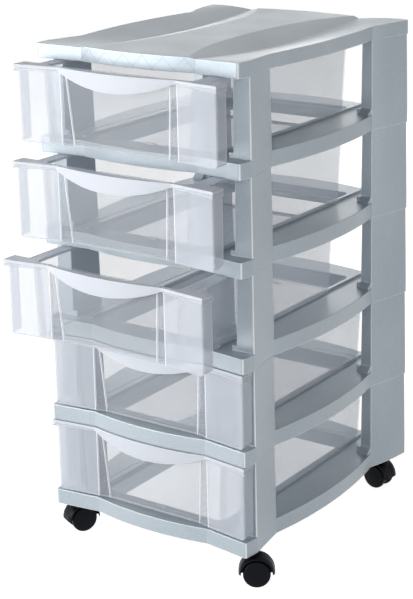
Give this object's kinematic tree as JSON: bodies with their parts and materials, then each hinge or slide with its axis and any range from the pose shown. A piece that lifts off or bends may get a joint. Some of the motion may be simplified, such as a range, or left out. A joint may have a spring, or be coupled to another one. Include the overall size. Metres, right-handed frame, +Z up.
{
  "type": "drawer tower",
  "caption": "Tall plastic storage tower on swivel casters, with translucent drawers that have moulded finger pulls, between stacked silver shelf frames with open sides.",
  "frame": {"origin": "centre of the whole tower's bounding box, at the floor, with the drawers standing open as stored", "axes": "+Z up, drawers open towards -Y, +X to the right seen from the front"},
  "size_m": [0.3498, 0.4752, 0.664],
  "materials": {
    "frame_plastic": "silver-grey moulded plastic with a fine metallic fleck, satin",
    "drawer_plastic": "natural translucent polypropylene, milky lobes and a clearer window",
    "caster_plastic": "black moulded nylon",
    "wheel_plastic": "black moulded nylon, satin tread",
    "steel": "zinc-plated steel"
  },
  "bodies": {
    "frame": {"frame_1": "frame_plastic", "frame_2": "frame_plastic", "frame_3": "frame_plastic", "frame_4": "frame_plastic", "frame_5": "frame_plastic", "lid": "frame_plastic", "caster_front_left_stem": "steel", "caster_front_right_stem": "steel", "caster_rear_left_stem": "steel", "caster_rear_right_stem": "steel"},
    "drawer_1": {"drawer_1": "drawer_plastic"},
    "drawer_2": {"drawer_2": "drawer_plastic"},
    "drawer_3": {"drawer_3": "drawer_plastic"},
    "drawer_4": {"drawer_4": "drawer_plastic"},
    "drawer_5": {"drawer_5": "drawer_plastic"},
    "caster_front_left": {"caster_front_left_housing": "caster_plastic", "caster_front_left_axle": "steel"},
    "caster_front_left_wheel_1": {"caster_front_left_wheel_1": "wheel_plastic"},
    "caster_front_left_wheel_2": {"caster_front_left_wheel_2": "wheel_plastic"},
    "caster_front_right": {"caster_front_right_housing": "caster_plastic", "caster_front_right_axle": "steel"},
    "caster_front_right_wheel_1": {"caster_front_right_wheel_1": "wheel_plastic"},
    "caster_front_right_wheel_2": {"caster_front_right_wheel_2": "wheel_plastic"},
    "caster_rear_left": {"caster_rear_left_housing": "caster_plastic", "caster_rear_left_axle": "steel"},
    "caster_rear_left_wheel_1": {"caster_rear_left_wheel_1": "wheel_plastic"},
    "caster_rear_left_wheel_2": {"caster_rear_left_wheel_2": "wheel_plastic"},
    "caster_rear_right": {"caster_rear_right_housing": "caster_plastic", "caster_rear_right_axle": "steel"},
    "caster_rear_right_wheel_1": {"caster_rear_right_wheel_1": "wheel_plastic"},
    "caster_rear_right_wheel_2": {"caster_rear_right_wheel_2": "wheel_plastic"}
  },
  "joints": [
    {"name": "drawer_1_slide", "type": "slide", "parent": "frame", "child": "drawer_1", "axis": [0, -1, 0], "range_m": [0, 0.315]},
    {"name": "drawer_2_slide", "type": "slide", "parent": "frame", "child": "drawer_2", "axis": [0, -1, 0], "range_m": [0, 0.315]},
    {"name": "drawer_3_slide", "type": "slide", "parent": "frame", "child": "drawer_3", "axis": [0, -1, 0], "range_m": [-0.078, 0.237]},
    {"name": "drawer_4_slide", "type": "slide", "parent": "frame", "child": "drawer_4", "axis": [0, -1, 0], "range_m": [-0.053, 0.262]},
    {"name": "drawer_5_slide", "type": "slide", "parent": "frame", "child": "drawer_5", "axis": [0, -1, 0], "range_m": [-0.042, 0.273]},
    {"name": "caster_front_left_swivel", "type": "hinge", "parent": "frame", "child": "caster_front_left", "pos_m": [-0.141, -0.1364, 0.03], "axis": [0, 0, 1], "continuous": true},
    {"name": "caster_front_left_wheel_1_spin", "type": "hinge", "parent": "caster_front_left", "child": "caster_front_left_wheel_1", "pos_m": [-0.13618, -0.12651, 0.0175], "axis": [-0.8988, 0.4384, 0], "continuous": true},
    {"name": "caster_front_left_wheel_2_spin", "type": "hinge", "parent": "caster_front_left", "child": "caster_front_left_wheel_2", "pos_m": [-0.13618, -0.12651, 0.0175], "axis": [-0.8988, 0.4384, 0], "continuous": true},
    {"name": "caster_front_right_swivel", "type": "hinge", "parent": "frame", "child": "caster_front_right", "pos_m": [0.141, -0.1364, 0.03], "axis": [0, 0, 1], "continuous": true},
    {"name": "caster_front_right_wheel_1_spin", "type": "hinge", "parent": "caster_front_right", "child": "caster_front_right_wheel_1", "pos_m": [0.15012, -0.13025, 0.0175], "axis": [-0.5592, 0.829, 0], "continuous": true},
    {"name": "caster_front_right_wheel_2_spin", "type": "hinge", "parent": "caster_front_right", "child": "caster_front_right_wheel_2", "pos_m": [0.15012, -0.13025, 0.0175], "axis": [-0.5592, 0.829, 0], "continuous": true},
    {"name": "caster_rear_left_swivel", "type": "hinge", "parent": "frame", "child": "caster_rear_left", "pos_m": [-0.145, 0.2026, 0.03], "axis": [0, 0, 1], "continuous": true},
    {"name": "caster_rear_left_wheel_1_spin", "type": "hinge", "parent": "caster_rear_left", "child": "caster_rear_left_wheel_1", "pos_m": [-0.15177, 0.21127, 0.0175], "axis": [-0.788, -0.6157, 0], "continuous": true},
    {"name": "caster_rear_left_wheel_2_spin", "type": "hinge", "parent": "caster_rear_left", "child": "caster_rear_left_wheel_2", "pos_m": [-0.15177, 0.21127, 0.0175], "axis": [-0.788, -0.6157, 0], "continuous": true},
    {"name": "caster_rear_right_swivel", "type": "hinge", "parent": "frame", "child": "caster_rear_right", "pos_m": [0.145, 0.2026, 0.03], "axis": [0, 0, 1], "continuous": true},
    {"name": "caster_rear_right_wheel_1_spin", "type": "hinge", "parent": "caster_rear_right", "child": "caster_rear_right_wheel_1", "pos_m": [0.13411, 0.20413, 0.0175], "axis": [-0.1392, -0.9903, 0], "continuous": true},
    {"name": "caster_rear_right_wheel_2_spin", "type": "hinge", "parent": "caster_rear_right", "child": "caster_rear_right_wheel_2", "pos_m": [0.13411, 0.20413, 0.0175], "axis": [-0.1392, -0.9903, 0], "continuous": true}
  ]
}
